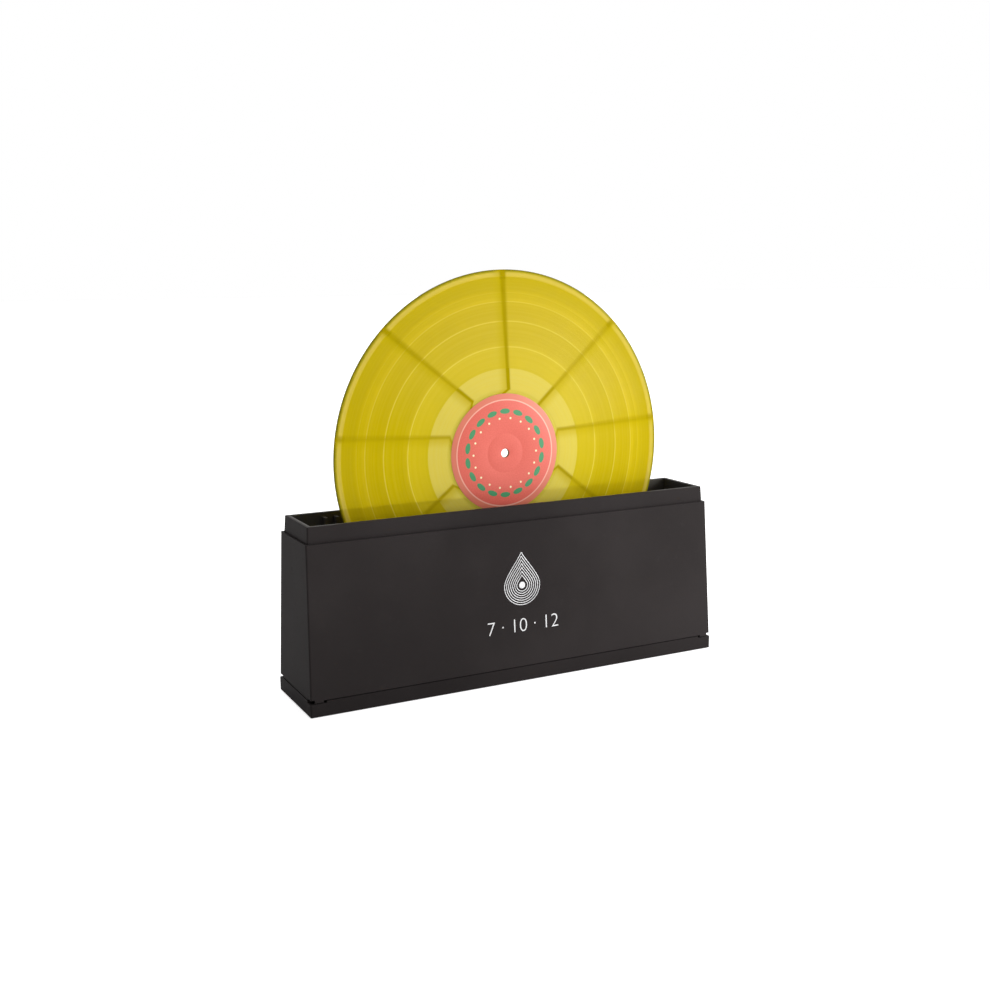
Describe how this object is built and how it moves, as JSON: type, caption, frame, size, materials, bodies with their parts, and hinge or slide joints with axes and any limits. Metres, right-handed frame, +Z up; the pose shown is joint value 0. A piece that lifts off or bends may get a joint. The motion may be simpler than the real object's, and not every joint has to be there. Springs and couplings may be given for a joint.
{
  "type": "record cleaning machine",
  "caption": "Hand-turned record washer: tapered housing on a tray, narrow basin, rollers and lift-out brushes that hold an upright record.",
  "frame": {"origin": "on the table, under the middle of the machine", "axes": "+X to the right along the housing, +Y from front to rear along the record's axis, +Z up"},
  "size_m": [0.3774, 0.0774, 0.338],
  "materials": {
    "housing": "fine satin texture, charcoal black",
    "basin": "satin black",
    "tray": "fine satin texture, charcoal black",
    "foot": "dull black",
    "screw": "zinc plated",
    "record": "translucent yellow, glossy, with fine grooves",
    "label": "printed paper, coral with a green and cream ring",
    "roller": "semi-gloss black",
    "roller_tyre": "soft matt grey",
    "axle": "ground stainless",
    "brush_holder": "satin black",
    "brush_foam": "closed-cell foam",
    "brush_pile": "short velvet pile"
  },
  "bodies": {
    "housing": {"outer_shell": "housing", "inner_tub": "basin", "base_tray": "tray", "front_left_foot": "foot", "front_right_foot": "foot", "rear_left_foot": "foot", "rear_right_foot": "foot", "shell_screws": "screw", "tub_screws": "screw"},
    "record": {"record_disc": "record", "front_label": "label", "rear_label": "label"},
    "left_roller": {"left_roller_front_cheek": "roller", "left_roller_rear_cheek": "roller", "left_roller_tyre": "roller_tyre", "left_roller_axle": "axle"},
    "right_roller": {"right_roller_front_cheek": "roller", "right_roller_rear_cheek": "roller", "right_roller_tyre": "roller_tyre", "right_roller_axle": "axle"},
    "front_brush": {"front_brush_holder": "brush_holder", "front_brush_foam": "brush_foam", "front_brush_pile": "brush_pile"},
    "rear_brush": {"rear_brush_holder": "brush_holder", "rear_brush_foam": "brush_foam", "rear_brush_pile": "brush_pile"}
  },
  "joints": [
    {"name": "record_spin", "type": "hinge", "parent": "housing", "child": "record", "pos_m": [0, 0, 0.1872], "axis": [0, 1, 0], "continuous": true},
    {"name": "left_roller_spin", "type": "hinge", "parent": "housing", "child": "left_roller", "pos_m": [-0.147, 0, 0.11724], "axis": [0, 1, 0], "continuous": true},
    {"name": "right_roller_spin", "type": "hinge", "parent": "housing", "child": "right_roller", "pos_m": [0.147, 0, 0.11724], "axis": [0, 1, 0], "continuous": true},
    {"name": "front_brush_lift", "type": "slide", "parent": "housing", "child": "front_brush", "axis": [0, 0, 1], "range_m": [0, 0.112]},
    {"name": "rear_brush_lift", "type": "slide", "parent": "housing", "child": "rear_brush", "axis": [0, 0, 1], "range_m": [0, 0.112]}
  ],
  "couplings": [
    {"joint": "left_roller_spin", "follows": "record_spin", "ratio": -12.567},
    {"joint": "right_roller_spin", "follows": "record_spin", "ratio": -12.567}
  ]
}
